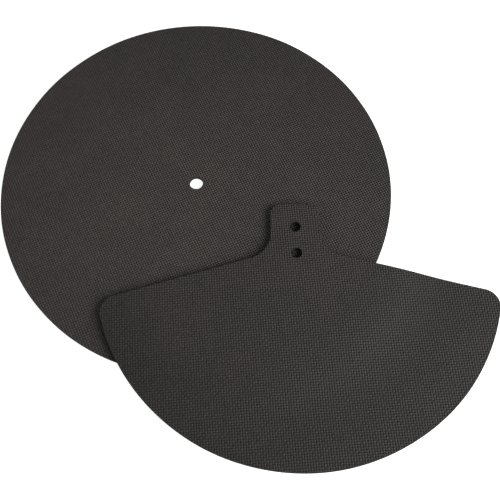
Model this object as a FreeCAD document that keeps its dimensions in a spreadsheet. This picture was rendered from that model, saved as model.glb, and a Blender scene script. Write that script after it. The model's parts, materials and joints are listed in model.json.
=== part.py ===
import FreeCAD, Part

import math
import os

import Sketcher

# A pair of mutes that deaden a drum kit for practice: a round mat that lies between the two
# hi-hat cymbals, and a half-moon mat with a neck that lies on a crash or ride cymbal. Each is
# die-cut in one piece from the same embossed closed-cell foam rubber sheet. They are stored
# loose, with the half-moon mat lying partly on the round one.
#
# Frame: millimetres, +Z up. The origin is the centre of the round mat's rod hole, on its
# underside, so the whole pair lies on the plane Z = 0. The half-moon mat lies towards -Y.
# Where it reaches past the round mat it sags in a shallow S onto the surface below. Its own
# origin is on its neck's axis, level with the centre of its long curved edge.

# Driving dimensions: (alias, value, what it measures). Lengths are in millimetres and angles
# in degrees.
DIMENSIONS = [
    ("sheet_thickness", 4.0, "thickness of the foam sheet"),
    ("round_radius", 177.8, "round mat: radius, for a 14 inch hi-hat"),
    ("rod_hole_radius", 6.0, "round mat: hole for the hi-hat's pull rod"),
    ("arc_radius", 176.4, "half-moon mat: radius of its long curved edge"),
    ("arc_offset", 1.8, "half-moon mat: neck's axis to the long edge's centre, to the right"),
    ("shoulder_fall", 15.0, "half-moon mat: angle by which each shoulder slopes down"),
    ("shoulder_offset", 15.0, "half-moon mat: its origin to a shoulder, square to it"),
    ("corner_radius", 15.0, "half-moon mat: where a shoulder turns into the long edge"),
    ("neck_width", 43.5, "half-moon mat: width of the neck"),
    ("neck_height", 55.6, "half-moon mat: its origin to the neck's top edge"),
    ("neck_corner_radius", 10.5, "half-moon mat: the neck's two top corners"),
    ("neck_fillet_radius", 25.0, "half-moon mat: hollow curve from neck to shoulder"),
    ("stud_hole_radius", 4.75, "half-moon mat: the two holes in the neck"),
    ("stud_hole_low", 8.3, "half-moon mat: its origin to the lower hole"),
    ("stud_hole_spacing", 25.0, "half-moon mat: between the centres of its holes"),
    ("lie_across", 89.4, "half-moon mat: its origin from the round mat's, along X"),
    ("lie_along", -79.5, "half-moon mat: its origin from the round mat's, along Y"),
    ("lie_turn", 1.1, "half-moon mat: turn of its neck from +Y, anticlockwise"),
    ("lie_gap", 0.3, "clear space between the two mats"),
    ("sag_lead", 2.0, "from the round mat's edge to where the sag begins"),
    ("sag_run", 72.0, "level distance over which the sheet sags to the surface"),
    ("blank_radius", 320.0, "radius of the sheet that the half-moon mat is cut from"),
]

START, END, CENTRE = 1, 2, 3
ORIGIN_POINT = (-1, START)
H_AXIS = -1
V_AXIS = -2
UP = FreeCAD.Vector(0, 0, 1)
VOLUME_TOLERANCE = 0.01


def at(x, y):
    return FreeCAD.Vector(x, y, 0)


def polar(centre, radius, degrees):
    angle = math.radians(degrees)
    return centre + at(radius * math.cos(angle), radius * math.sin(angle))


def line(start, end):
    return Part.LineSegment(start, end)


def arc(centre, radius, start_degrees, end_degrees):
    """An anticlockwise arc."""
    circle = Part.Circle(centre, UP, radius)
    return Part.ArcOfCircle(circle, math.radians(start_degrees), math.radians(end_degrees))


def make_sheet(doc):
    """The spreadsheet of driving dimensions."""
    sheet = doc.addObject("Spreadsheet::Sheet", "dims")
    for row, (alias, value, meaning) in enumerate(DIMENSIONS, start=1):
        sheet.set(f"A{row}", meaning)
        sheet.set(f"B{row}", str(value))
        sheet.setAlias(f"B{row}", alias)
    doc.recompute()
    return sheet


def new_body(doc, label):
    body = doc.addObject("PartDesign::Body", label)
    body.Label = label
    return body


def new_sketch(body, name, plane_role):
    """An empty sketch on one of the body's own origin planes."""
    plane = next(o for o in body.Origin.OriginFeatures if o.Role == plane_role)
    sketch = body.newObject("Sketcher::SketchObject", name)
    sketch.AttachmentSupport = [(plane, "")]
    sketch.MapMode = "FlatFace"
    return sketch


def fix(sketch, kind, *where):
    """Adds a constraint that has no size."""
    sketch.addConstraint(Sketcher.Constraint(kind, *where))


def drive(sketch, name, formula, kind, *where_and_value):
    """Adds a named size to a sketch and binds it to the spreadsheet."""
    index = sketch.addConstraint(Sketcher.Constraint(kind, *where_and_value))
    sketch.renameConstraint(index, name)
    sketch.setExpression(f"Constraints.{name}", formula)


def add_loop(sketch, loop, joint):
    """Adds a closed loop and joins each edge to the next, and returns the edges' numbers.

    Each entry of the loop is an edge, the end where the loop enters it and the end where
    the loop leaves it.
    """
    edges = [sketch.addGeometry(edge) for edge, _, _ in loop]
    for i, (_, _, leaves) in enumerate(loop):
        following = (i + 1) % len(loop)
        enters = loop[following][1]
        fix(sketch, joint, edges[i], leaves, edges[following], enters)
    return edges


def add_feature(body, kind, name, profile, **settings):
    """Adds a feature that is made from a sketch, such as a pad or a pocket."""
    feature = body.newObject(kind, name)
    feature.Profile = profile
    for setting, value in settings.items():
        setattr(feature, setting, value)
    return feature


def make_round_mat(doc, sheet):
    """A plain disc of the foam sheet with a hole for the hi-hat's rod."""
    body = new_body(doc, "round_mat")

    rim = new_sketch(body, "round_rim", "XY_Plane")
    circle = rim.addGeometry(Part.Circle(at(0, 0), UP, sheet.round_radius))
    fix(rim, "Coincident", circle, CENTRE, *ORIGIN_POINT)
    drive(rim, "rim", "dims.round_radius", "Radius", circle, sheet.round_radius)
    disc = add_feature(body, "PartDesign::Pad", "round_blank", rim)
    disc.setExpression("Length", "dims.sheet_thickness")
    doc.recompute()

    rod = new_sketch(body, "rod_hole_outline", "XY_Plane")
    circle = rod.addGeometry(Part.Circle(at(0, 0), UP, sheet.rod_hole_radius))
    fix(rod, "Coincident", circle, CENTRE, *ORIGIN_POINT)
    drive(rod, "rod_hole", "dims.rod_hole_radius", "Radius", circle, sheet.rod_hole_radius)
    add_feature(body, "PartDesign::Pocket", "rod_hole", rod, Type="ThroughAll", Reversed=True)
    doc.recompute()
    return body


def draw_sagging_sheet(sketch, sheet):
    """Half of a round sheet's section, as it lies on the round mat and sags past its edge.

    The section is in the plane of the origin's axis: across is the distance from that axis.
    Each face is level, then a crest and a trough that meet halfway down, then level again.
    The two faces' arcs share their centres, so the sheet keeps its thickness all the way.
    """
    thick = sheet.sheet_thickness
    drop = sheet.sheet_thickness + sheet.lie_gap
    begin = sheet.round_radius + sheet.sag_lead
    finish = begin + sheet.sag_run
    outer = sheet.blank_radius
    slope = 2 * math.degrees(math.atan2(drop, sheet.sag_run))
    bend = sheet.sag_run / (2 * math.sin(math.radians(slope)))
    crest = at(begin, drop - bend)
    trough = at(finish, bend)
    # from the middle of the lower face out to the edge, and back along the upper face
    loop = [
        (line(at(0, drop), at(begin, drop)), START, END),
        (arc(crest, bend, 90 - slope, 90), END, START),
        (arc(trough, bend, 270 - slope, 270), START, END),
        (line(at(finish, 0), at(outer, 0)), START, END),
        (line(at(outer, 0), at(outer, thick)), START, END),
        (line(at(outer, thick), at(finish, thick)), START, END),
        (arc(trough, bend - thick, 270 - slope, 270), END, START),
        (arc(crest, bend + thick, 90 - slope, 90), START, END),
        (line(at(begin, drop + thick), at(0, drop + thick)), START, END),
        (line(at(0, drop + thick), at(0, drop)), START, END),
    ]
    (
        lower_in, lower_crest, lower_trough, lower_out, edge,
        upper_out, upper_trough, upper_crest, upper_in, middle,
    ) = add_loop(sketch, loop, "Coincident")
    centres = sketch.addGeometry(line(crest, trough), True)

    for level in (lower_in, lower_out, upper_out, upper_in):
        fix(sketch, "Horizontal", level)
    for upright in (edge, middle):
        fix(sketch, "Vertical", upright)
    fix(sketch, "PointOnObject", lower_in, START, V_AXIS)
    fix(sketch, "PointOnObject", lower_out, START, H_AXIS)
    for end, lower, upper in (
        (START, lower_crest, upper_crest),
        (END, lower_trough, upper_trough),
    ):
        fix(sketch, "Coincident", centres, end, lower, CENTRE)
        fix(sketch, "Coincident", centres, end, upper, CENTRE)
    fix(sketch, "Vertical", lower_crest, CENTRE, lower_in, END)
    fix(sketch, "Vertical", upper_in, START, lower_in, END)
    fix(sketch, "Vertical", lower_trough, CENTRE, lower_out, START)
    fix(sketch, "Vertical", upper_out, END, lower_out, START)
    fix(sketch, "Symmetric", centres, START, centres, END, lower_crest, START)
    fix(sketch, "PointOnObject", upper_crest, START, centres)

    drive(
        sketch, "height", "dims.sheet_thickness + dims.lie_gap",
        "DistanceY", *ORIGIN_POINT, lower_in, START, drop,
    )
    drive(
        sketch, "sag_start", "dims.round_radius + dims.sag_lead",
        "DistanceX", *ORIGIN_POINT, lower_in, END, begin,
    )
    drive(
        sketch, "sag_run", "dims.sag_run",
        "DistanceX", lower_in, END, lower_out, START, sheet.sag_run,
    )
    drive(
        sketch, "blank", "dims.blank_radius",
        "DistanceX", *ORIGIN_POINT, lower_out, END, outer,
    )
    drive(
        sketch, "thickness", "dims.sheet_thickness",
        "DistanceY", lower_in, START, upper_in, END, thick,
    )


def draw_half_moon(sketch, sheet):
    """The half-moon's closed outline, with its neck's axis along the sketch's Y.

    The neck and shoulders are symmetric, and the long arc's centre is a little to the right.
    From the bottom the outline runs anticlockwise: the long arc, the right corner, shoulder
    and neck, the neck's top, and the same down the left side.
    """
    fall = sheet.shoulder_fall
    half_neck = sheet.neck_width / 2
    arc_radius = sheet.arc_radius
    corner_radius = sheet.corner_radius
    top_radius = sheet.neck_corner_radius
    hollow_radius = sheet.neck_fillet_radius
    down_shoulder = math.radians(fall)

    # a corner arc touches the shoulder and the long arc from inside
    middle = at(sheet.arc_offset, 0)
    corner_reach = arc_radius - corner_radius

    def corner_rise(arc_shift):
        """How far round from level a corner is, with the arc shifted towards it."""
        offset = sheet.shoulder_offset - corner_radius - arc_shift * math.sin(down_shoulder)
        return math.degrees(math.asin(offset / corner_reach)) - fall

    rise_right = corner_rise(sheet.arc_offset)
    rise_left = corner_rise(-sheet.arc_offset)
    right_corner = polar(middle, corner_reach, rise_right)
    left_corner = polar(middle, corner_reach, 180 - rise_left)
    # a hollow arc touches the neck's side and the shoulder from outside
    hollow_x = half_neck + hollow_radius
    hollow_rise = sheet.shoulder_offset + hollow_radius - hollow_x * math.sin(down_shoulder)
    hollow = at(hollow_x, hollow_rise / math.cos(down_shoulder))
    top = at(half_neck - top_radius, sheet.neck_height - top_radius)

    def left(point):
        return at(-point.x, point.y)

    right_outer = polar(right_corner, corner_radius, 90 - fall)
    left_outer = polar(left_corner, corner_radius, 90 + fall)
    shoulder_inner = polar(hollow, hollow_radius, 270 - fall)
    neck_foot = polar(hollow, hollow_radius, 180)
    neck_side = polar(top, top_radius, 0)
    neck_end = polar(top, top_radius, 90)
    loop = [
        (arc(middle, arc_radius, 180 - rise_left, 360 + rise_right), START, END),
        (arc(right_corner, corner_radius, rise_right, 90 - fall), START, END),
        (line(right_outer, shoulder_inner), START, END),
        (arc(hollow, hollow_radius, 180, 270 - fall), END, START),
        (line(neck_foot, neck_side), START, END),
        (arc(top, top_radius, 0, 90), START, END),
        (line(neck_end, left(neck_end)), START, END),
        (arc(left(top), top_radius, 90, 180), START, END),
        (line(left(neck_side), left(neck_foot)), START, END),
        (arc(left(hollow), hollow_radius, fall - 90, 0), END, START),
        (line(left(shoulder_inner), left_outer), START, END),
        (arc(left_corner, corner_radius, 90 + fall, 180 - rise_left), START, END),
    ]
    (
        long_arc, corner_right, shoulder_right, hollow_right, side_right, top_right,
        top_edge, top_left, side_left, hollow_left, shoulder_left, corner_left,
    ) = add_loop(sketch, loop, "Tangent")

    fix(sketch, "PointOnObject", long_arc, CENTRE, H_AXIS)
    fix(sketch, "Symmetric", top_edge, START, top_edge, END, V_AXIS)
    fix(sketch, "Symmetric", shoulder_right, END, shoulder_left, START, V_AXIS)
    fix(sketch, "Vertical", side_right)
    fix(sketch, "Vertical", side_left)
    fix(sketch, "Equal", corner_right, corner_left)
    fix(sketch, "Equal", hollow_right, hollow_left)
    fix(sketch, "Equal", top_right, top_left)
    drive(sketch, "arc", "dims.arc_radius", "Radius", long_arc, arc_radius)
    drive(
        sketch, "arc_offset", "dims.arc_offset",
        "DistanceX", *ORIGIN_POINT, long_arc, CENTRE, sheet.arc_offset,
    )
    drive(sketch, "corner", "dims.corner_radius", "Radius", corner_right, corner_radius)
    drive(sketch, "hollow", "dims.neck_fillet_radius", "Radius", hollow_right, hollow_radius)
    drive(sketch, "neck_corner", "dims.neck_corner_radius", "Radius", top_right, top_radius)
    drive(
        sketch, "neck_height", "dims.neck_height",
        "DistanceY", *ORIGIN_POINT, top_edge, START, sheet.neck_height,
    )
    drive(
        sketch, "neck_width", "dims.neck_width",
        "DistanceX", side_left, START, side_right, END, sheet.neck_width,
    )
    drive(
        sketch, "shoulder_angle", "(180 - dims.shoulder_fall) * 1 deg",
        "Angle", shoulder_right, math.radians(180 - fall),
    )
    drive(
        sketch, "shoulder_offset", "dims.shoulder_offset",
        "Distance", *ORIGIN_POINT, shoulder_right, sheet.shoulder_offset,
    )


def lay_half_moon(sketch, sheet):
    """Puts a sketch of the half-moon where the mat lies, and binds the place."""
    turn = FreeCAD.Rotation(UP, sheet.lie_turn)
    sketch.AttachmentOffset = FreeCAD.Placement(at(sheet.lie_across, sheet.lie_along), turn)
    sketch.setExpression("AttachmentOffset.Base.x", "dims.lie_across")
    sketch.setExpression("AttachmentOffset.Base.y", "dims.lie_along")
    sketch.setExpression("AttachmentOffset.Rotation.Angle", "dims.lie_turn * 1 deg")


def make_half_moon_mat(doc, sheet):
    """The foam sheet as it lies, cut to the half-moon's outline, with its two holes."""
    body = new_body(doc, "half_moon_mat")

    section = new_sketch(body, "sagging_section", "XZ_Plane")
    draw_sagging_sheet(section, sheet)
    add_feature(
        body, "PartDesign::Revolution", "sagging_sheet", section,
        ReferenceAxis=(section, ["V_Axis"]), Angle=360,
    )
    doc.recompute()

    # everything between the outline and a circle round the whole sheet is cut away
    waste = new_sketch(body, "half_moon_outline", "XY_Plane")
    lay_half_moon(waste, sheet)
    draw_half_moon(waste, sheet)
    reach = sheet.blank_radius + sheet.arc_radius
    circle = waste.addGeometry(Part.Circle(at(0, 0), UP, reach))
    fix(waste, "Coincident", circle, CENTRE, *ORIGIN_POINT)
    drive(waste, "reach", "dims.blank_radius + dims.arc_radius", "Radius", circle, reach)
    add_feature(
        body, "PartDesign::Pocket", "die_cut", waste, Type="ThroughAll", Reversed=True
    )
    doc.recompute()

    studs = new_sketch(body, "stud_hole_outlines", "XY_Plane")
    lay_half_moon(studs, sheet)
    heights = {
        "low": (sheet.stud_hole_low, "dims.stud_hole_low"),
        "high": (
            sheet.stud_hole_low + sheet.stud_hole_spacing,
            "dims.stud_hole_low + dims.stud_hole_spacing",
        ),
    }
    for place, (height, formula) in heights.items():
        circle = studs.addGeometry(Part.Circle(at(0, height), UP, sheet.stud_hole_radius))
        fix(studs, "PointOnObject", circle, CENTRE, V_AXIS)
        drive(
            studs, f"{place}_height", formula,
            "DistanceY", *ORIGIN_POINT, circle, CENTRE, height,
        )
        drive(
            studs, f"{place}_radius", "dims.stud_hole_radius",
            "Radius", circle, sheet.stud_hole_radius,
        )
    add_feature(
        body, "PartDesign::Pocket", "stud_holes", studs, Type="ThroughAll", Reversed=True
    )
    doc.recompute()
    return body


def outline_area(sketch):
    """The area inside the innermost of a sketch's closed wires."""
    return min(Part.Face(wire).Area for wire in sketch.Shape.Wires)


def check_document(doc):
    """Stops if a feature failed or a sketch is loose."""
    for item in doc.Objects:
        if "Invalid" in item.State or "Error" in item.State:
            raise RuntimeError(f"{item.Name} failed: {item.State}")
        if item.isDerivedFrom("Sketcher::SketchObject") and not item.FullyConstrained:
            raise RuntimeError(f"{item.Name} isn't fully constrained")


def check_volume(body, area, thickness):
    """Stops unless a mat's solid is its flat outline times the sheet's thickness."""
    shape = body.Shape
    if shape.isNull() or not shape.isValid() or len(shape.Solids) != 1:
        raise RuntimeError(f"{body.Label} isn't one valid solid")
    expected = area * thickness
    if abs(shape.Volume - expected) > VOLUME_TOLERANCE * expected:
        raise RuntimeError(f"{body.Label} holds {shape.Volume:.0f}, not {expected:.0f} mm3")
    print(f"{body.Label}: {area:.0f} mm2, {shape.Volume / 1000:.1f} cm3")


def main():
    doc = FreeCAD.newDocument("practice_mutes")
    sheet = make_sheet(doc)
    round_mat = make_round_mat(doc, sheet)
    half_moon_mat = make_half_moon_mat(doc, sheet)
    check_document(doc)

    rod_hole = math.pi * sheet.rod_hole_radius**2
    round_area = math.pi * sheet.round_radius**2 - rod_hole
    stud_hole = math.pi * sheet.stud_hole_radius**2
    half_moon_area = outline_area(doc.half_moon_outline) - 2 * stud_hole
    check_volume(round_mat, round_area, sheet.sheet_thickness)
    check_volume(half_moon_mat, half_moon_area, sheet.sheet_thickness)

    os.makedirs("parts", exist_ok=True)
    for body in (round_mat, half_moon_mat):
        body.Shape.exportStep(f"parts/{body.Label}.step")


main()
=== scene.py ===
"""Two practice mutes for a drum kit, die-cut from foam rubber sheet with an embossed cloth weave.

The round mute lies flat on a studio table. The half-moon mute lies on it and sags past its edge
onto the table. Each is one watertight mesh: its faces carry the weave as relief on a lattice of
thread crossings, and its cut edge runs round the outline and every hole. Lengths are in
millimetres until a mesh is made.
"""

import json
import math

import bpy
import numpy as np
from mathutils import Matrix, Vector, geometry, kdtree, noise


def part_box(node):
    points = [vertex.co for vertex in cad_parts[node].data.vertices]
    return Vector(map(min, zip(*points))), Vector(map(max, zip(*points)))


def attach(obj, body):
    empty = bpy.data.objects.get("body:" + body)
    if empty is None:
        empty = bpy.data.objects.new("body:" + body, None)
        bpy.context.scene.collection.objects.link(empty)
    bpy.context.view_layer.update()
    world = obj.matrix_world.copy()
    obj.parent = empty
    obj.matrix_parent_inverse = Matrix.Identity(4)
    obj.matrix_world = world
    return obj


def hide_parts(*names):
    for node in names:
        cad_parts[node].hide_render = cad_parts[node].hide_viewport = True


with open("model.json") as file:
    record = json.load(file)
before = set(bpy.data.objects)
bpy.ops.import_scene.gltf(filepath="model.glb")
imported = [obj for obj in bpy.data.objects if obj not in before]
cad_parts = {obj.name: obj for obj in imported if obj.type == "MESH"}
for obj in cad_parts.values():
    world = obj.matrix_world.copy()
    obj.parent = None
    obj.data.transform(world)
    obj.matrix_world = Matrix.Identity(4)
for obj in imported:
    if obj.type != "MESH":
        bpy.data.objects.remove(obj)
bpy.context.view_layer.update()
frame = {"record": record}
MOUNTS = {mount["name"]: mount for mount in frame["record"]["mounts"]}
MM = 0.001
QUARTER = math.pi / 2
# noise_vector takes its offsets from a generator that would otherwise be seeded by the clock
NOISE_SEED = 7
noise.seed_set(NOISE_SEED)


def mount_place(name):
    """Where a mount of the record is, in millimetres."""
    return Vector(MOUNTS[name]["pos_m"]) / MM


def mount_radius(name):
    """The radius of a bore mount, in millimetres."""
    return MOUNTS[name]["dims"]["r_mm"]


# ---- the sheet and its embossed weave ----

SHEET = MOUNTS["rod_hole"]["dims"]["length_mm"]
THREAD = 2.15  # from one gap between threads to the next
LATTICE_STEP = 0.5  # in threads, so that every gap and every crest has a point
PLAIN_STEP = 3.0  # in threads, for a face that carries no relief
CREST_FULLNESS = 0.7
GROOVE_DEPTH = 0.17
PIT_DEPTH = 0.28
SHALLOW_PIT_DEPTH = 0.09
PIT_SHARPNESS = 2.5
WANDER = 0.35
WANDER_SCALE = 38.0
FIBRES = 5  # across one thread
FIBRE_LEAN = 1  # threads that a fibre drifts across in the length of one
# Each sheet's weave: how far its threads are turned, where they start, and its wander's seed.
ROUND_WEAVE = math.radians(25.0), (0.4, 0.9), 1.5
HALF_MOON_WEAVE = math.radians(4.0), (0.0, 0.5), 4.5

# ---- the cut edge ----

EDGE_POINT_SPACING = 1.2
HOLE_POINT_SPACING = 0.6
ARC_POINT_SPACING = 0.4
OUTLINE_WOBBLE = 0.3
WOBBLE_SCALE = 55.0
EDGE_ZONE = 2.5
EMBOSS_FADE = 0.4  # the depth down the rounded edge at which the relief has faded out
LATTICE_CLEARANCE = 0.45  # from the edge's innermost row to the nearest lattice point
# Each row of the rounded edge: how far in from the outline, how far down from its face, and how
# far the finish has gone over from the embossed skin (0) to the cut foam (1).
# The rows going over to the darker cut foam darken the rounded edge: partly the cut edge itself,
# partly painted shade along the outline.
ROUNDED_ROWS = ((0.50, 0.00, 0.45), (0.17, 0.07, 0.70), (0.02, 0.32, 1.00))
# Each row of the cut wall: its share of the way down, and how far the knife drew it in.
WALL_ROWS = ((0.25, 0.05), (0.50, 0.08), (0.75, 0.05))
WALL_ROUGHNESS = 0.05
WALL_GRAIN_SCALE = 1.1
ROUND_WOBBLE_SEED = 3.1
ROUND_WALL_SEED = 11.0
HALF_MOON_WOBBLE_SEED = 7.7
HALF_MOON_WALL_SEED = 23.0
# What the triangle filler is told: to return every triangle, and how close points may come.
ALL_TRIANGLES = 0
POINT_TOLERANCE = 1e-6

# ---- the half-moon's outline, from its origin on its neck's axis, with its neck along +V ----

ARC_RADIUS = 176.4
ARC_OFFSET = 1.8
SHOULDER_FALL = math.radians(15.0)
SHOULDER_OFFSET = 15.0
CORNER_RADIUS = 15.0
NECK_WIDTH = 43.5
NECK_HEIGHT = 55.6
NECK_CORNER_RADIUS = 10.5
NECK_FILLET_RADIUS = 25.0
STUD_HOLE_LOW = 8.3

# ---- how the half-moon sags past the round mute ----

SAG_LEAD = 2.0
SAG_RUN = 72.0

# ---- finishes ----

# The colours are linear. Cut foam is shaded as a plain vector, so it has no fourth value.
SKIN_COOL = (0.0396, 0.0345, 0.0326, 1.0)
SKIN_WARM = (0.0453, 0.0384, 0.0359, 1.0)
WORN = (0.066, 0.060, 0.056, 1.0)
# Cut foam is darker than the skin partly as its own colour and partly as painted shade on the cut
# wall.
CUT_FOAM_AND_PAINTED_SHADE = (0.0150, 0.0140, 0.0135)
# A patch: its middle, the distances from it where it starts and ends its fall, and its value before
# and after. The first two are painted light and shade on each sheet's skin: lighter at the middle
# and darker away from it, as the light falls. The last sets how strong the weave's painted shade
# and highlight are, strongest at its middle as if under raking light.
ROUND_PAINTED_LIGHT_PATCH = (-28.0, -48.0), 26.0, 290.0, 1.50, 0.90
HALF_MOON_PAINTED_LIGHT_PATCH = (42.0, -55.0), 84.0, 172.0, 0.985, 0.69
# the weave's painted shade and highlight are strongest at this patch's middle, standing in for
# raking light
PAINTED_SHADE_CONTRAST_PATCH = (170.0, 30.0), 20.0, 330.0, 2.5, 0.9
# A noise: its size and its octaves of finer detail. Each is taken further along the noise.
CLOUDS = 42.0, 3.0
MOTTLE = 4.5, 3.0
GRAIN = 0.32, 2.0
SCUFFS = 9.0, 5.0
NOISE_STRIDE = 2.0
ROUND_NOISE_START = 0.0
HALF_MOON_NOISE_START = 13.0
CELL_SIZE = 0.42
# Where in its range a noise, a cell or the mesh's finish takes effect.
CLOUD_SPAN = 0.3, 0.7
MOTTLE_SPAN = 0.25, 0.75
WIDE_SPAN = 0.2, 0.8
SCUFF_SPAN = 0.52, 0.7
PORE_SPAN = 0.5, 0.15
PORE_CHANCE_SPAN = 0.35, 0.6
CUT_SPAN = 0.3, 0.8
RIM_SPAN = 0.3, 0.7
# Relief that only the shader has, in millimetres.
CREST_UNEVENNESS = 0.06
FIBRE_HEIGHT = 0.008
GRAIN_HEIGHT = 0.02
PORE_DEPTH = 0.12
# What each thing does to the tone: a pair of factors, or a share taken off or put on.
# The weave's factors paint shade into its grooves and pits and a highlight onto its crests.
PAINTED_GROOVE_SHADE_CREST_HIGHLIGHT = 0.50, 1.34
SPECKLE_SHADES = 0.93, 1.07
CUT_SHADES = 0.85, 1.15
DEEP_PIT_PAINTED_SHADE = 0.95
SHALLOW_PIT_PAINTED_SHADE = 0.5
CREST_SHADE = 0.3
# The cut foam's pores are darkened by painted shade in their hollows.
PORE_PAINTED_SHADE = 0.6
RIM_WEAR = 0.4
SKIN_ROUGHNESS = 0.55, 0.67
CREST_POLISH = 0.06
CUT_ROUGHNESS_GAIN = 0.25
SKIN_SPECULAR = 0.40

TABLE_SHADED = (0.86, 0.86, 0.86, 1.0)
TABLE_BRIGHT = (0.90, 0.90, 0.90, 1.0)
TABLE_CLOUD_SIZE = 300.0
TABLE_ROUGHNESS = 0.75, 0.85
TABLE_SPECULAR = 0.2
TABLE_GLOW = 0.85

# ---- the studio ----

TABLE_RINGS = (0.5, 1.5, 6.0)  # radii in metres
TABLE_CORNERS = 64
TABLE_DROP = 0.05  # the table top's depth under the mutes, in millimetres

AIM = Vector((0.05, -0.04, 0.0))
# The main soft box, at the front right: degrees, metres and watts.
KEY_AZIMUTH = -23.0
KEY_ELEVATION = 27.0
KEY_DISTANCE = 1.5
KEY_SIZE = 1.05
KEY_POWER = 26.5
KEY_COLOUR = (1.0, 0.99, 0.975)
# The white walls are bright up to an angle above the table, and the ceiling is dim.
WALL_LIGHT = 0.84
CEILING_LIGHT = 0.10
WALL_TOP = math.sin(math.radians(24.0))
CEILING_START = math.sin(math.radians(42.0))

CAMERA_PLACE = (0.0487, -0.3124, 0.6025)
CAMERA_PITCH = math.radians(67.68)
CAMERA_ROLL = math.radians(-0.36)
CAMERA_LENS = 52.92
SENSOR_WIDTH = 36.0
CLIP_START = 0.01


def weave_height(u, v):
    """Height of the embossed face at thread coordinates u and v, in millimetres, at most 0.

    Whole numbers are the gaps between threads. The pits where two gaps cross are deep at every
    other crossing and shallow between.
    """
    crossing = math.cos(math.pi * u) * math.cos(math.pi * v)
    crest = abs(math.sin(math.pi * u) * math.sin(math.pi * v)) ** CREST_FULLNESS
    deep = max(crossing, 0.0) ** PIT_SHARPNESS
    shallow = max(-crossing, 0.0) ** PIT_SHARPNESS
    return GROOVE_DEPTH * (crest - 1.0) - PIT_DEPTH * deep - SHALLOW_PIT_DEPTH * shallow


class Weave:
    """The cloth pattern on one sheet: its thread direction, where it starts and how it wanders."""

    def __init__(self, turn, start, seed):
        self.turn = turn
        self.start = Vector(start)
        self.seed = seed

    def wander(self, point):
        """How far the threads have been dragged at a point of the sheet."""
        spot = Vector((point[0] / WANDER_SCALE, point[1] / WANDER_SCALE, self.seed))
        drag = noise.noise_vector(spot)
        return Vector((drag.x, drag.y)) * WANDER

    def place(self, u, v):
        """The point of the sheet at thread coordinates u and v."""
        straight = Matrix.Rotation(self.turn, 2) @ (Vector((u, v)) * THREAD) + self.start
        return straight + self.wander(straight)

    def coordinates(self, point):
        """The thread coordinates at a point of the sheet."""
        straight = Vector(point) - self.wander(point) - self.start
        return (Matrix.Rotation(-self.turn, 2) @ straight) / THREAD


# ---- outlines ----


def arc(centre, radius, start, end):
    """Points along an arc between two angles in radians, both ends included."""
    count = max(2, math.ceil(abs(end - start) * radius / ARC_POINT_SPACING))
    angles = np.linspace(start, end, count + 1)
    return [(centre[0] + radius * math.cos(a), centre[1] + radius * math.sin(a)) for a in angles]


def evened(points, spacing):
    """The same closed line with evenly spaced points, as an array."""
    loop = np.array(list(points) + [points[0]])
    run = np.concatenate(([0.0], np.cumsum(np.hypot(*np.diff(loop, axis=0).T))))
    stops = np.linspace(0.0, run[-1], round(run[-1] / spacing) + 1)[:-1]
    return np.stack([np.interp(stops, run, loop[:, k]) for k in (0, 1)], axis=1)


def outward(loop):
    """Unit normals of a closed line, to the right of its direction of travel."""
    along = np.roll(loop, -1, axis=0) - np.roll(loop, 1, axis=0)
    along /= np.linalg.norm(along, axis=1)[:, None]
    return np.stack([along[:, 1], -along[:, 0]], axis=1)


def wobbled(loop, seed):
    """The line as the die cuts soft foam, gently off its true course."""
    spots = [Vector((x / WOBBLE_SCALE, y / WOBBLE_SCALE, seed)) for x, y in loop]
    drift = np.array([noise.noise(spot) for spot in spots]) * OUTLINE_WOBBLE
    return loop + outward(loop) * drift[:, None]


def hole(name):
    """A bore mount's outline, clockwise, so that the foam is on its left as on the outside."""
    centre = mount_place(name)
    circle = arc((centre.x, centre.y), mount_radius(name), 2 * math.pi, 0.0)
    return evened(circle[:-1], HOLE_POINT_SPACING)


def round_outline(radius):
    """The round mute's outline, counterclockwise."""
    return evened(arc((0.0, 0.0), radius, 0.0, 2 * math.pi)[:-1], EDGE_POINT_SPACING)


def half_moon_side(arc_shift):
    """One side of the half-moon's outline, from the foot of its arc to its neck's top.

    The side is on +U, with the arc's centre shifted towards it.
    """
    reach = ARC_RADIUS - CORNER_RADIUS
    offset = SHOULDER_OFFSET - CORNER_RADIUS - arc_shift * math.sin(SHOULDER_FALL)
    rise = math.asin(offset / reach) - SHOULDER_FALL
    corner = (arc_shift + reach * math.cos(rise), reach * math.sin(rise))
    hollow_u = NECK_WIDTH / 2 + NECK_FILLET_RADIUS
    hollow_v = SHOULDER_OFFSET + NECK_FILLET_RADIUS - hollow_u * math.sin(SHOULDER_FALL)
    hollow = (hollow_u, hollow_v / math.cos(SHOULDER_FALL))
    top = (NECK_WIDTH / 2 - NECK_CORNER_RADIUS, NECK_HEIGHT - NECK_CORNER_RADIUS)
    side = arc((arc_shift, 0.0), ARC_RADIUS, -QUARTER, rise)
    side += arc(corner, CORNER_RADIUS, rise, QUARTER - SHOULDER_FALL)
    side += arc(hollow, NECK_FILLET_RADIUS, 3 * QUARTER - SHOULDER_FALL, math.pi)
    side += arc(top, NECK_CORNER_RADIUS, 0.0, QUARTER)
    return side


def half_moon_outline():
    """The half-moon's outline in its own frame, counterclockwise from the foot of its arc."""
    right = half_moon_side(ARC_OFFSET)
    left = [(-u, v) for u, v in reversed(half_moon_side(-ARC_OFFSET))]
    return evened(right + left[:-1], EDGE_POINT_SPACING)


# ---- heights of the two faces ----


def flat_faces(point):
    """Heights of the round mute's lower and upper faces."""
    return 0.0, SHEET


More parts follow.
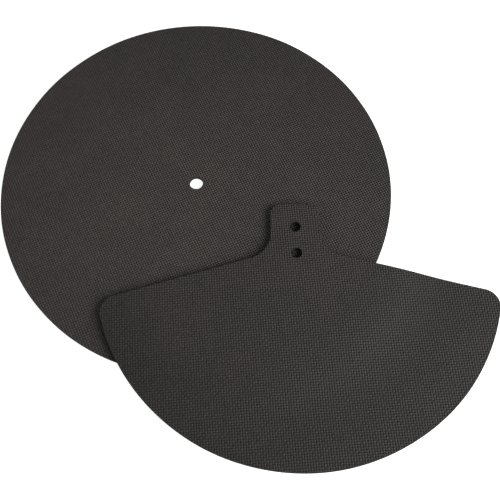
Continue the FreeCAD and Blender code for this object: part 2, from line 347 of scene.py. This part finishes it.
def sagging_faces(point, drop, edge):
    """Heights of the half-moon's lower and upper faces at a point.

    It lies level at drop while the round mute is under it. Past the round mute's edge it runs down
    to the table over SAG_RUN, round a crest and a trough of equal bend.
    """
    out = math.hypot(point[0], point[1])
    begin = edge + SAG_LEAD
    finish = begin + SAG_RUN
    slope = 2 * math.atan2(drop, SAG_RUN)
    bend = SAG_RUN / (2 * math.sin(slope))
    heights = []
    for offset in (0.0, SHEET):
        turning = begin + (bend + offset) * math.sin(slope)
        if out <= begin:
            height = drop + offset
        elif out <= turning:
            height = drop - bend + math.sqrt((bend + offset) ** 2 - (out - begin) ** 2)
        elif out < finish:
            height = bend - math.sqrt((bend - offset) ** 2 - (finish - out) ** 2)
        else:
            height = offset
        heights.append(height)
    return heights


# ---- meshes ----


def depth_finder(loops):
    """A function giving how far inside the foam a point is, from its outline's nearest point."""
    points = np.concatenate(loops)
    normals = np.concatenate([outward(loop) for loop in loops])
    tree = kdtree.KDTree(len(points))
    for index, (x, y) in enumerate(points):
        tree.insert((x, y, 0.0), index)
    tree.balance()

    def depth(point):
        nearest, index, _ = tree.find((point[0], point[1], 0.0))
        off_x = nearest.x - point[0]
        off_y = nearest.y - point[1]
        return off_x * normals[index][0] + off_y * normals[index][1]

    return depth


def inside_by_crossings(points, starts, ends):
    """Which points lie inside the closed lines whose edges run from starts to ends."""
    inside = np.zeros(len(points), bool)
    for (x0, y0), (x1, y1) in zip(starts, ends):
        if y0 == y1:
            continue
        level = (points[:, 1] > y0) != (points[:, 1] > y1)
        cross = x0 + (points[:, 1] - y0) * (x1 - x0) / (y1 - y0)
        inside ^= level & (points[:, 0] < cross)
    return inside


def border_edges(quads):
    """The edges that only one square has, in order, each in that square's direction."""
    edges = np.concatenate([quads[:, [k, (k + 1) % 4]] for k in range(4)])
    keys = {tuple(edge) for edge in edges.tolist()}
    return sorted(edge for edge in keys if (edge[1], edge[0]) not in keys)


class SheetMesh:
    """Collects the points and faces of one foam sheet: its cut edge, then its two faces."""

    def __init__(self, loops, weave, faces_at, seed):
        self.loops = loops
        self.sizes = [len(loop) for loop in loops]
        self.weave = weave
        self.faces_at = faces_at
        self.seed = seed
        self.depth = depth_finder(loops)
        self.plan = []
        self.height = []
        self.finish = []
        self.faces = []

    def add_point(self, point, height, finish):
        """Adds a point above or below a point of the sheet."""
        self.plan.append(point)
        self.height.append(height)
        self.finish.append(finish)

    def relief(self, point, scale):
        """Height of the weave's relief at a point, at most 0."""
        u, v = self.weave.coordinates(point)
        return weave_height(u, v) * scale

    def add_row(self, place):
        """Adds one row of the edge round every outline, and returns where its points start."""
        start = len(self.plan)
        for loop in self.loops:
            for point, away in zip(loop, outward(loop)):
                self.add_point(*place(point, away))
        return start

    def rounded_row(self, inset, drop, finish, side, scale):
        """A row of the rounded edge, beside the upper face (side 1) or the lower one (-1)."""
        fade = scale * (1.0 - drop / EMBOSS_FADE)

        def place(point, away):
            spot = point - away * inset
            low, high = self.faces_at(point)
            level = high if side > 0 else low
            return spot, level + side * (self.relief(spot, fade) - drop), finish

        return self.add_row(place)

    def wall_row(self, share, inset):
        """A row of the cut wall, with the foam's coarse grain."""

        def place(point, away):
            low, high = self.faces_at(point)
            level = high + (low - high) * share
            spot = Vector((point[0], point[1], 2 * level + self.seed)) / WALL_GRAIN_SCALE
            grain = noise.noise(spot) * WALL_ROUGHNESS
            return point + away * (grain - inset), level, 1.0

        return self.add_row(place)

    def add_edge(self, lower_scale):
        """Adds the whole edge, from the upper face to the lower one."""
        rows = [self.rounded_row(*row, 1, 1.0) for row in ROUNDED_ROWS]
        rows += [self.wall_row(*row) for row in WALL_ROWS]
        rows += [self.rounded_row(*row, -1, lower_scale) for row in reversed(ROUNDED_ROWS)]
        for upper, lower in zip(rows, rows[1:]):
            first = 0
            for size in self.sizes:
                for k in range(size):
                    a, b = first + k, first + (k + 1) % size
                    self.faces.append((upper + b, upper + a, lower + a, lower + b))
                first += size
        return rows[0], rows[-1]

    def lattice(self, step):
        """The thread lattice's points and squares that lie clear inside the outline."""
        outer = self.loops[0]
        centre = (outer.min(axis=0) + outer.max(axis=0)) / 2
        reach = np.linalg.norm(outer - centre, axis=1).max()
        count = math.ceil(reach / (THREAD * step))
        middle = self.weave.coordinates(centre) / step
        first_u = math.floor(middle.x) - count
        first_v = math.floor(middle.y) - count
        size = 2 * count + 1
        clear = ROUNDED_ROWS[0][0] + LATTICE_CLEARANCE
        index = -np.ones((size, size), int)
        points = []
        for i in range(size):
            for j in range(size):
                point = self.weave.place((first_u + i) * step, (first_v + j) * step)
                if self.depth(point) > clear:
                    index[i, j] = len(points)
                    points.append(point)
        corners = (index[:-1, :-1], index[1:, :-1], index[1:, 1:], index[:-1, 1:])
        quads = np.stack(corners, axis=-1).reshape(-1, 4)
        quads = quads[(quads >= 0).all(axis=1)]
        used, compact = np.unique(quads, return_inverse=True)
        return np.array(points)[used], compact.reshape(-1, 4)

    def flat_face(self, rim_start, step):
        """A face in the plane: its lattice points, and faces that count the rim's points first."""
        inner, quads = self.lattice(step)
        rim_count = sum(self.sizes)
        rim = np.array(self.plan[rim_start:rim_start + rim_count])
        edges = []
        first = 0
        for size in self.sizes:
            edges += [(first + k, first + (k + 1) % size) for k in range(size)]
            first += size
        stairs = border_edges(quads)
        stair_ids = sorted({i for edge in stairs for i in edge})
        local = {i: rim_count + k for k, i in enumerate(stair_ids)}
        edges += [(local[a], local[b]) for a, b in stairs]
        band = np.concatenate([rim, inner[stair_ids]])
        # the band between the rim and the lattice's stepped border is filled with triangles
        spots = [Vector(p) for p in band]
        made = geometry.delaunay_2d_cdt(spots, edges, [], ALL_TRIANGLES, POINT_TOLERANCE, True)
        placed, triangles, sources = made[0], made[2], made[3]
        if len(placed) != len(band):
            raise RuntimeError("the face's edges cross or its points coincide")
        corners = np.array([[sources[i][0] for i in triangle] for triangle in triangles])
        starts, ends = np.array(edges).T
        keep = inside_by_crossings(band[corners].mean(axis=1), band[starts], band[ends])
        band_ids = list(range(rim_count)) + [rim_count + i for i in stair_ids]
        faces = [tuple(band_ids[i] for i in triangle) for triangle in corners[keep]]
        faces += [tuple(rim_count + i for i in quad) for quad in quads.tolist()]
        return inner, faces

    def add_face(self, rim_start, step, side, scale):
        """Adds the upper face (side 1) or the lower one (-1) inside an edge row."""
        inner, faces = self.flat_face(rim_start, step)
        rim_count = sum(self.sizes)
        shift = len(self.plan) - rim_count
        rim_finish = ROUNDED_ROWS[0][2]
        for point in inner:
            low, high = self.faces_at(point)
            level = high if side > 0 else low
            # near the edge the skin goes part way over to the darker cut foam: partly the cut edge,
            # partly painted shade along the outline
            near_edge = max(0.0, 1.0 - self.depth(point) / EDGE_ZONE)
            self.add_point(point, level + side * self.relief(point, scale), rim_finish * near_edge)
        for face in faces:
            ids = tuple(rim_start + i if i < rim_count else shift + i for i in face)
            self.faces.append(ids if side > 0 else ids[::-1])

    def finished(self, name):
        """The Blender object, whose points carry their thread coordinates and finish."""
        mesh = bpy.data.meshes.new(name)
        places = np.column_stack([np.array(self.plan), np.array(self.height)]) * MM
        mesh.from_pydata(places.tolist(), [], self.faces)
        if mesh.validate():
            raise RuntimeError(f"{name} has a bad face")
        mesh.shade_smooth()
        threads = np.array([tuple(self.weave.coordinates(point)) for point in self.plan])
        values = np.column_stack([threads, np.array(self.finish)]).astype(np.float32)
        attribute = mesh.attributes.new("weave", "FLOAT_VECTOR", "POINT")
        attribute.data.foreach_set("vector", values.ravel())
        piece = bpy.data.objects.new(name, mesh)
        bpy.context.scene.collection.objects.link(piece)
        return piece


# ---- materials ----


class Graph:
    """A new material's nodes, with short calls for the ones used here."""

    def __init__(self, name):
        self.material = bpy.data.materials.new(name)
        self.material.use_nodes = True
        self.tree = self.material.node_tree
        self.tree.nodes.clear()
        self.shader = self.tree.nodes.new("ShaderNodeBsdfPrincipled")
        output = self.tree.nodes.new("ShaderNodeOutputMaterial")
        self.tree.links.new(self.shader.outputs["BSDF"], output.inputs["Surface"])

    def set(self, socket, value):
        """Links a socket to another node's output, or sets its plain value."""
        if isinstance(value, bpy.types.NodeSocket):
            self.tree.links.new(value, socket)
        else:
            socket.default_value = value

    def finish(self, name, value):
        """Sets or links one of the shader's own sockets."""
        self.set(self.shader.inputs[name], value)

    def math(self, operation, *values):
        """One arithmetic step."""
        node = self.tree.nodes.new("ShaderNodeMath")
        node.operation = operation
        for socket, value in zip(node.inputs, values):
            self.set(socket, value)
        return node.outputs[0]

    def times(self, *values):
        """The product of several values."""
        product = values[0]
        for value in values[1:]:
            product = self.math("MULTIPLY", product, value)
        return product

    def plus(self, value, share, other):
        """The sum of a value and a share of another."""
        return self.math("MULTIPLY_ADD", other, share, value)

    def ramp(self, value, start, end, low=0.0, high=1.0):
        """A smooth climb from low to high as value goes from start to end."""
        node = self.tree.nodes.new("ShaderNodeMapRange")
        node.interpolation_type = "SMOOTHSTEP"
        for name, setting in zip(("Value", "From Min", "From Max", "To Min", "To Max"),
                                 (value, start, end, low, high)):
            self.set(node.inputs[name], setting)
        return node.outputs["Result"]

    def mix(self, share, first, second):
        """A colour between two."""
        node = self.tree.nodes.new("ShaderNodeMix")
        node.data_type = "RGBA"
        self.set(node.inputs["Factor"], share)
        self.set(node.inputs["A"], first)
        self.set(node.inputs["B"], second)
        return node.outputs["Result"]

    def scaled(self, colour, factor):
        """A colour made lighter or darker."""
        node = self.tree.nodes.new("ShaderNodeVectorMath")
        node.operation = "SCALE"
        self.set(node.inputs[0], colour)
        self.set(node.inputs["Scale"], factor)
        return node.outputs[0]

    def split(self, vector):
        """The three numbers of a vector or colour."""
        node = self.tree.nodes.new("ShaderNodeSeparateXYZ")
        self.set(node.inputs[0], vector)
        return node.outputs

    def weave(self):
        """The mesh's own thread coordinates and how far it has gone over to cut foam."""
        node = self.tree.nodes.new("ShaderNodeAttribute")
        node.attribute_name = "weave"
        return self.split(node.outputs["Vector"])

    def place(self):
        """The point on the object, in metres."""
        return self.tree.nodes.new("ShaderNodeTexCoord").outputs["Object"]

    def noise(self, size, detail=2.0, offset=0.0):
        """Cloudy variation of a given size in millimetres, from 0 to 1."""
        node = self.tree.nodes.new("ShaderNodeTexNoise")
        node.noise_dimensions = "4D"
        self.set(node.inputs["Vector"], self.place())
        self.set(node.inputs["W"], offset)
        self.set(node.inputs["Scale"], 1.0 / (size * MM))
        self.set(node.inputs["Detail"], detail)
        return node.outputs["Fac"]

    def cells(self, size):
        """Distance to the middle of the nearest foam cell, in cells, and a chance value for it."""
        node = self.tree.nodes.new("ShaderNodeTexVoronoi")
        self.set(node.inputs["Vector"], self.place())
        self.set(node.inputs["Scale"], 1.0 / (size * MM))
        return node.outputs["Distance"], self.split(node.outputs["Color"])[0]

    def chance(self, u, v):
        """A random value from 0 to 1 for each thread crossing."""
        cell = self.tree.nodes.new("ShaderNodeCombineXYZ")
        self.set(cell.inputs["X"], self.math("FLOOR", u))
        self.set(cell.inputs["Y"], self.math("FLOOR", v))
        node = self.tree.nodes.new("ShaderNodeTexWhiteNoise")
        node.noise_dimensions = "2D"
        self.set(node.inputs["Vector"], cell.outputs[0])
        return node.outputs["Value"]

    def patch(self, centre, near, far, high, low):
        """A tone that goes from high to low between two distances from a point, in millimetres."""
        node = self.tree.nodes.new("ShaderNodeVectorMath")
        node.operation = "DISTANCE"
        self.set(node.inputs[0], self.place())
        self.set(node.inputs[1], Vector(centre).to_3d() * MM)
        return self.ramp(node.outputs["Value"], near * MM, far * MM, high, low)

    def bump(self, height):
        """Makes the shader's surface follow a height in millimetres."""
        node = self.tree.nodes.new("ShaderNodeBump")
        self.set(node.inputs["Strength"], 1.0)
        self.set(node.inputs["Distance"], MM)
        self.set(node.inputs["Height"], height)
        self.finish("Normal", node.outputs["Normal"])


def weave_nodes(graph, u, v):
    """The weave's signed hump, its crest, its deep pits and its shallow ones, as weave_height."""
    turn_u = graph.times(u, math.pi)
    turn_v = graph.times(v, math.pi)
    crossing = graph.times(graph.math("COSINE", turn_u), graph.math("COSINE", turn_v))
    hump = graph.times(graph.math("SINE", turn_u), graph.math("SINE", turn_v))
    crest = graph.math("POWER", graph.math("ABSOLUTE", hump), CREST_FULLNESS)
    deep = graph.math("POWER", graph.math("MAXIMUM", crossing, 0.0), PIT_SHARPNESS)
    opposite = graph.math("MAXIMUM", graph.times(crossing, -1.0), 0.0)
    shallow = graph.math("POWER", opposite, PIT_SHARPNESS)
    return hump, crest, deep, shallow


def fibre_nodes(graph, u, v, hump, crest):
    """Fine fibres along whichever thread is on top, from -1 to 1, fading into the gaps."""
    across, lean = 2 * math.pi * FIBRES, 2 * math.pi * FIBRE_LEAN
    fibre_u = graph.math("SINE", graph.plus(graph.times(v, lean), across, u))
    fibre_v = graph.math("SINE", graph.plus(graph.times(u, lean), across, v))
    over = graph.math("LESS_THAN", hump, 0.0)
    under = graph.math("SUBTRACT", 1.0, over)
    return graph.times(crest, graph.plus(graph.times(over, fibre_u), under, fibre_v))


def foam(name, noise_start, painted_light_patch):
    """Charcoal foam rubber: an embossed skin on the faces, open cells on the cut edge.

    The skin carries painted light and shade: it is palest in the middle of its painted light patch,
    its grooves and pits carry painted shade and its crests a painted highlight, strongest in the
    middle of another patch, and the cut edge's pores carry painted shade.
    """
    graph = Graph(name)
    u, v, finish = graph.weave()
    hump, crest, deep, shallow = weave_nodes(graph, u, v)
    fibre = fibre_nodes(graph, u, v, hump, crest)
    cut = graph.ramp(finish, *CUT_SPAN)
    rim = graph.ramp(finish, *RIM_SPAN)
    noises = (CLOUDS, MOTTLE, GRAIN, SCUFFS)
    clouds, mottle, grain, scuffs = [
        graph.noise(*noise_kind, noise_start + NOISE_STRIDE * k)
        for k, noise_kind in enumerate(noises)
    ]
    distance, chance = graph.cells(CELL_SIZE)
    pore = graph.times(graph.ramp(distance, *PORE_SPAN), graph.ramp(chance, *PORE_CHANCE_SPAN))
    uneven = graph.times(crest, graph.math("SUBTRACT", graph.chance(u, v), 0.5))

    # relief in millimetres: the weave, its fibres and the skin's grain, or the cut foam's pores
    height = graph.times(graph.math("SUBTRACT", crest, 1.0), GROOVE_DEPTH)
    parts = (
        (-PIT_DEPTH, deep),
        (-SHALLOW_PIT_DEPTH, shallow),
        (CREST_UNEVENNESS, uneven),
        (FIBRE_HEIGHT, fibre),
        (GRAIN_HEIGHT, grain),
    )
    for share, part in parts:
        height = graph.plus(height, share, part)
    bare = graph.math("SUBTRACT", 1.0, cut)
    pore_height = graph.times(pore, cut, -PORE_DEPTH)
    graph.bump(graph.math("ADD", graph.times(height, bare), pore_height))

    # painted shade in the weave's grooves and pits and a painted highlight on its crests, for how
    # light falls on the relief
    painted_weave_shading = graph.times(
        graph.ramp(crest, 0.0, 1.0, *PAINTED_GROOVE_SHADE_CREST_HIGHLIGHT),
        graph.plus(1.0, -DEEP_PIT_PAINTED_SHADE, deep),
        graph.plus(1.0, -SHALLOW_PIT_PAINTED_SHADE, shallow),
    )
    # the skin's tone: painted light and shade from the patches and the weave, with random tone at
    # the crests, mottle and grain
    tone_and_painted_light = graph.times(
        graph.patch(*painted_light_patch),
        graph.math("POWER", painted_weave_shading, graph.patch(*PAINTED_SHADE_CONTRAST_PATCH)),
        graph.plus(1.0, CREST_SHADE, uneven),
        graph.ramp(mottle, *MOTTLE_SPAN, *SPECKLE_SHADES),
        graph.ramp(grain, *WIDE_SPAN, *SPECKLE_SHADES),
    )
    skin = graph.mix(graph.ramp(clouds, *CLOUD_SPAN), SKIN_COOL, SKIN_WARM)
    wear = graph.times(rim, graph.ramp(scuffs, *SCUFF_SPAN), RIM_WEAR)
    worn_skin = graph.mix(wear, graph.scaled(skin, tone_and_painted_light), WORN)
    # the cut foam's mottle, with painted shade in its pores
    cut_tone_and_painted_pore_shade = graph.plus(graph.ramp(mottle, *WIDE_SPAN, *CUT_SHADES), -PORE_PAINTED_SHADE, pore)
    graph.finish("Base Color", graph.mix(cut, worn_skin, graph.scaled(CUT_FOAM_AND_PAINTED_SHADE, cut_tone_and_painted_pore_shade)))

    rough = graph.ramp(mottle, *WIDE_SPAN, *SKIN_ROUGHNESS)
    rough = graph.plus(rough, -CREST_POLISH, crest)
    graph.finish("Roughness", graph.plus(rough, CUT_ROUGHNESS_GAIN, cut))
    graph.finish("Specular IOR Level", SKIN_SPECULAR)
    return graph.material


def table_top():
    """Smooth white laminate with the faintest unevenness."""
    graph = Graph("studio_table")
    clouds = graph.noise(TABLE_CLOUD_SIZE)
    graph.finish("Base Color", graph.mix(clouds, TABLE_SHADED, TABLE_BRIGHT))
    graph.finish("Roughness", graph.ramp(clouds, *WIDE_SPAN, *TABLE_ROUGHNESS))
    graph.finish("Specular IOR Level", TABLE_SPECULAR)
    graph.finish("Emission Color", (1.0, 1.0, 1.0, 1.0))
    graph.finish("Emission Strength", TABLE_GLOW)
    return graph.material


# ---- the pieces ----


def round_radius():
    """The round mute's radius, in millimetres."""
    low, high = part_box("round_mat")
    return (high[0] - low[0]) / 2 / MM


def make_round_mute():
    """The round mute with the hole for the stand's rod. Its underside carries no relief."""
    outline = round_outline(round_radius())
    loops = [wobbled(outline, ROUND_WOBBLE_SEED), hole("rod_hole")]
    sheet = SheetMesh(loops, Weave(*ROUND_WEAVE), flat_faces, ROUND_WALL_SEED)
    upper, lower = sheet.add_edge(0.0)
    sheet.add_face(upper, LATTICE_STEP, 1, 1.0)
    sheet.add_face(lower, PLAIN_STEP, -1, 0.0)
    return sheet.finished("round_mat_foam")


def make_half_moon_mute():
    """The half-moon mute, turned and placed by its two stud holes, sagging past the round one."""
    low = mount_place("stud_hole_low")
    high = mount_place("stud_hole_high")
    up = (high - low).xy.normalized()
    turn = math.atan2(up.y, up.x) - QUARTER
    origin = low.xy - up * STUD_HOLE_LOW
    spin = np.array(Matrix.Rotation(turn, 2))
    outline = half_moon_outline() @ spin.T + np.array(origin)
    loops = [wobbled(outline, HALF_MOON_WOBBLE_SEED), hole("stud_hole_low"), hole("stud_hole_high")]
    edge = round_radius()
    drop = low.z - SHEET / 2

    def faces_at(point):
        return sagging_faces(point, drop, edge)

    sheet = SheetMesh(loops, Weave(*HALF_MOON_WEAVE), faces_at, HALF_MOON_WALL_SEED)
    upper, lower = sheet.add_edge(1.0)
    sheet.add_face(upper, LATTICE_STEP, 1, 1.0)
    sheet.add_face(lower, LATTICE_STEP, -1, 1.0)
    return sheet.finished("half_moon_mat_foam")


round_mute = make_round_mute()
round_mute.data.materials.append(foam("round_foam", ROUND_NOISE_START, ROUND_PAINTED_LIGHT_PATCH))
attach(round_mute, "round_mat")
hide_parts("round_mat")

half_moon = make_half_moon_mute()
half_moon_foam = foam("half_moon_foam", HALF_MOON_NOISE_START, HALF_MOON_PAINTED_LIGHT_PATCH)
half_moon.data.materials.append(half_moon_foam)
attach(half_moon, "half_moon_mat")
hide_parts("half_moon_mat")


# ---- the studio ----


def make_table():
    """A wide round white table top, a hair under the mutes."""
    points = [(0.0, 0.0, 0.0)]
    for ring in TABLE_RINGS:
        for k in range(TABLE_CORNERS):
            angle = 2 * math.pi * k / TABLE_CORNERS
            points.append((ring * math.cos(angle), ring * math.sin(angle), 0.0))
    faces = []
    for k in range(TABLE_CORNERS):
        after = (k + 1) % TABLE_CORNERS
        faces.append((0, 1 + k, 1 + after))
        for ring in range(len(TABLE_RINGS) - 1):
            inner, outer = 1 + ring * TABLE_CORNERS, 1 + (ring + 1) * TABLE_CORNERS
            faces.append((inner + k, outer + k, outer + after, inner + after))
    mesh = bpy.data.meshes.new("studio_table")
    mesh.from_pydata(points, [], faces)
    mesh.materials.append(table_top())
    table = bpy.data.objects.new("studio_table", mesh)
    table.location.z = -TABLE_DROP * MM
    bpy.context.scene.collection.objects.link(table)


def make_key_light():
    """A large square soft box at the front right, low enough to rake the weave."""
    around, up = math.radians(KEY_AZIMUTH), math.radians(KEY_ELEVATION)
    away = Vector((math.cos(up) * math.cos(around), math.cos(up) * math.sin(around), math.sin(up)))
    lamp = bpy.data.lights.new("key_light", "AREA")
    lamp.shape = "SQUARE"
    lamp.size = KEY_SIZE
    lamp.energy = KEY_POWER
    lamp.color = KEY_COLOUR
    holder = bpy.data.objects.new("key_light", lamp)
    holder.location = AIM + away * KEY_DISTANCE
    holder.rotation_euler = (-away).to_track_quat("-Z", "Y").to_euler()
    holder.visible_camera = False
    bpy.context.scene.collection.objects.link(holder)


def make_studio_walls():
    """A white room: bright walls all round the table under a dim ceiling."""
    world = bpy.data.worlds.new("studio")
    world.use_nodes = True
    nodes, links = world.node_tree.nodes, world.node_tree.links
    direction = nodes.new("ShaderNodeTexCoord")
    split = nodes.new("ShaderNodeSeparateXYZ")
    fall = nodes.new("ShaderNodeMapRange")
    fall.interpolation_type = "SMOOTHSTEP"
    for name, value in (("From Min", WALL_TOP), ("From Max", CEILING_START),
                        ("To Min", WALL_LIGHT), ("To Max", CEILING_LIGHT)):
        fall.inputs[name].default_value = value
    background = nodes["Background"]
    background.inputs["Color"].default_value = (1.0, 1.0, 1.0, 1.0)
    links.new(direction.outputs["Generated"], split.inputs[0])
    links.new(split.outputs["Z"], fall.inputs["Value"])
    links.new(fall.outputs["Result"], background.inputs["Strength"])
    bpy.context.scene.world = world


def make_camera():
    """The view over the front edge, from above and a little to the right of the round mute."""
    ahead = Vector((0.0, math.cos(CAMERA_PITCH), -math.sin(CAMERA_PITCH)))
    level = Vector((1.0, 0.0, 0.0))
    upright = level.cross(ahead)
    right = level * math.cos(CAMERA_ROLL) + upright * math.sin(CAMERA_ROLL)
    up = upright * math.cos(CAMERA_ROLL) - level * math.sin(CAMERA_ROLL)
    data = bpy.data.cameras.new("camera")
    data.sensor_width = SENSOR_WIDTH
    data.lens = CAMERA_LENS
    data.clip_start = CLIP_START
    camera = bpy.data.objects.new("camera", data)
    turn = Matrix((right, up, -ahead)).transposed().to_4x4()
    camera.matrix_world = Matrix.Translation(CAMERA_PLACE) @ turn
    bpy.context.scene.collection.objects.link(camera)
    bpy.context.scene.camera = camera


make_table()
make_key_light()
make_studio_walls()
make_camera()
bpy.context.scene.view_settings.view_transform = "Standard"
